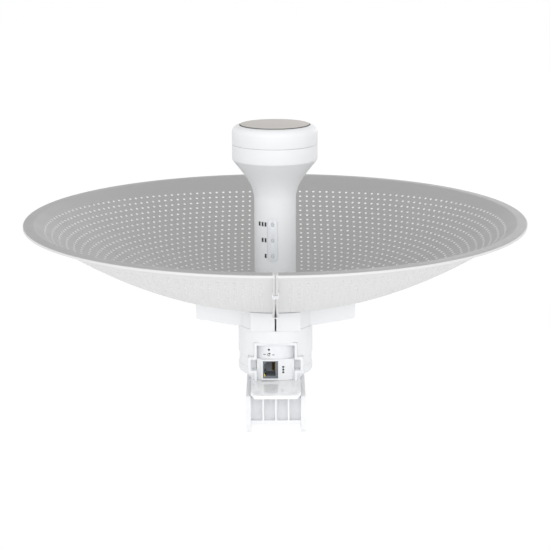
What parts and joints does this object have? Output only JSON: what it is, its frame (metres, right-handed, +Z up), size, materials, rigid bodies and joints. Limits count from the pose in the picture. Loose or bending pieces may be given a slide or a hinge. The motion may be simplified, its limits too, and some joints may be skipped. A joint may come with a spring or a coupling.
{
  "type": "outdoor wireless bridge",
  "caption": "Two-piece perforated parabolic reflector with a central feed tube, a round base with a cable port, and a tilting pole bracket.",
  "frame": {"origin": "on the boresight axis, level with the lowest edge of the pole bracket, under the centre of the reflector", "axes": "+Z up along the boresight, -Y towards the cable port side, +X to the right seen from the port side; in use the boresight is level, -Y points down and the pole runs along Y"},
  "size_m": [0.45, 0.45, 0.2699],
  "materials": {
    "reflector_coating": "satin light grey powder coat on thin perforated sheet",
    "white_plastic": "white moulded plastic with a fine satin grain",
    "gloss_plastic": "polished white plastic",
    "warm_grey_plastic": "warm grey, smooth satin",
    "window_plastic": "cool white, smooth",
    "lens_plastic": "pale clear-looking lens",
    "dark_plastic": "black moulded plastic",
    "jack_plastic": "grey jack shell",
    "gold_contacts": "gold plating",
    "yellow_lamp": "yellow lamp plastic",
    "circuit_board": "green solder mask",
    "copper": "bare copper",
    "aluminium": "mill finish",
    "steel": "zinc-plated steel",
    "rubber": "black silicone seal",
    "cable_jacket": "black coaxial cable jacket"
  },
  "bodies": {
    "bracket": {"pole_bracket": "white_plastic", "tilt_bolt": "steel", "tilt_nut": "steel"},
    "antenna": {"reflector_left": "reflector_coating", "reflector_right": "reflector_coating", "seam_clip_front_upper": "white_plastic", "seam_clip_front_lower": "white_plastic", "seam_clip_rear_upper": "white_plastic", "seam_clip_rear_lower": "white_plastic", "carrier_left": "white_plastic", "carrier_right": "white_plastic", "carrier_screw_1": "steel", "carrier_screw_2": "steel", "carrier_screw_3": "steel", "carrier_screw_4": "steel", "feed_tube": "white_plastic", "feed_cap": "white_plastic", "cap_disc": "warm_grey_plastic", "cap_seal": "rubber", "led_window": "window_plastic", "led_lens_strong": "lens_plastic", "led_lens_medium": "lens_plastic", "led_lens_weak": "lens_plastic", "feed_backplate": "aluminium", "feed_post": "aluminium", "feed_board": "circuit_board", "feed_patch": "copper", "feed_cable_left": "cable_jacket", "feed_cable_right": "cable_jacket", "main_board": "circuit_board", "rf_shield": "steel", "heat_spreader": "aluminium", "magnetics_block": "dark_plastic", "base_housing": "white_plastic", "port_frame": "white_plastic", "port_panel": "white_plastic", "port_shelf": "gloss_plastic", "ethernet_jack": "jack_plastic", "jack_contact_block": "gold_contacts", "jack_lamp": "yellow_lamp", "reset_switch": "dark_plastic", "base_end_plate": "white_plastic", "base_seal": "rubber", "base_screw_1": "steel", "base_screw_2": "steel", "base_screw_3": "steel", "base_screw_4": "steel", "tilt_spacer": "aluminium"},
    "reset_button": {"reset_button": "dark_plastic"}
  },
  "joints": [
    {"name": "elevation_tilt", "type": "hinge", "parent": "bracket", "child": "antenna", "pos_m": [0, 0.008, 0.0175], "axis": [-1, 0, 0], "range_deg": [0, 25]},
    {"name": "reset_press", "type": "slide", "parent": "antenna", "child": "reset_button", "axis": [0, 1, 0], "range_m": [0, 0.0005]}
  ]
}
